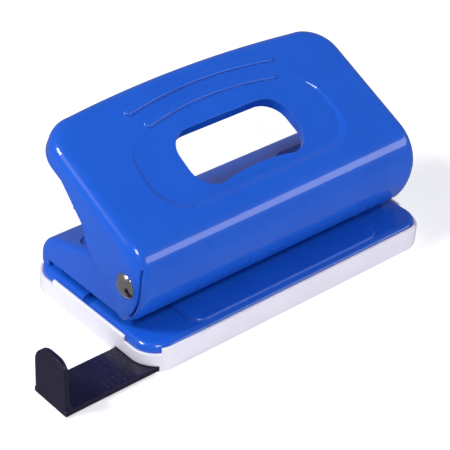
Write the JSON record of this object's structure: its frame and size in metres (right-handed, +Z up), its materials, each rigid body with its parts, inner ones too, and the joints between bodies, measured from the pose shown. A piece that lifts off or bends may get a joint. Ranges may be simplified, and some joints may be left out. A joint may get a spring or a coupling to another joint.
{
  "type": "two-hole paper punch",
  "caption": "Desktop two-hole paper punch: pressed-steel lever with finger opening over a hooded frame, clip-on chip tray and sliding paper ruler.",
  "frame": {"origin": "centre of the chip tray's underside, on the desk", "axes": "+X along the length away from the ruler's stop, +Y towards the rear where the lever is raised, +Z up; paper goes in from -Y"},
  "size_m": [0.1466, 0.0618, 0.0595],
  "materials": {
    "blue_paint": "gloss stoving enamel on pressed steel",
    "tray_plastic": "satin moulded polyethylene",
    "ruler_plastic": "fine textured moulded polystyrene",
    "nickel": "nickel-plated rivet",
    "tool_steel": "ground hardened steel",
    "spring_steel": "bright drawn wire and stamped clip",
    "zinc": "bright zinc plate",
    "washer_nylon": "natural nylon"
  },
  "bodies": {
    "tray": {"chip_tray": "tray_plastic"},
    "base": {"base_plate": "blue_paint", "punch_frame": "blue_paint", "frame_rivets": "zinc", "guide_plate": "zinc", "die_left": "tool_steel", "spring_washer_left": "zinc", "punch_spring_left": "spring_steel", "pivot_rivet_left": "nickel", "pivot_washer_left": "washer_nylon", "die_right": "tool_steel", "spring_washer_right": "zinc", "punch_spring_right": "spring_steel", "pivot_rivet_right": "nickel", "pivot_washer_right": "washer_nylon"},
    "handle": {"handle": "blue_paint"},
    "pin_left": {"punch_pin_left": "tool_steel", "pin_clip_left": "spring_steel"},
    "pin_right": {"punch_pin_right": "tool_steel", "pin_clip_right": "spring_steel"},
    "ruler": {"ruler": "ruler_plastic"}
  },
  "joints": [
    {"name": "tray_release", "type": "slide", "parent": "tray", "child": "base", "axis": [0, 0, 1], "range_m": [0, 0.012]},
    {"name": "handle_press", "type": "hinge", "parent": "base", "child": "handle", "pos_m": [0, -0.017, 0.026], "axis": [-1, 0, 0], "range_deg": [0, 18], "stiffness_Nm_per_rad": 1.5, "springref_deg": -11.46},
    {"name": "pin_left_slide", "type": "slide", "parent": "base", "child": "pin_left", "axis": [0, 0, -1], "range_m": [0, 0.0072], "deforming": ["punch_spring_left"]},
    {"name": "pin_right_slide", "type": "slide", "parent": "base", "child": "pin_right", "axis": [0, 0, -1], "range_m": [0, 0.0072], "deforming": ["punch_spring_right"]},
    {"name": "ruler_slide", "type": "slide", "parent": "tray", "child": "ruler", "axis": [-1, 0, 0], "range_m": [-0.0254, 0.045]}
  ],
  "couplings": [
    {"joint": "pin_left_slide", "follows": "handle_press", "m_per_rad": 0.0225},
    {"joint": "pin_right_slide", "follows": "handle_press", "m_per_rad": 0.0225}
  ]
}
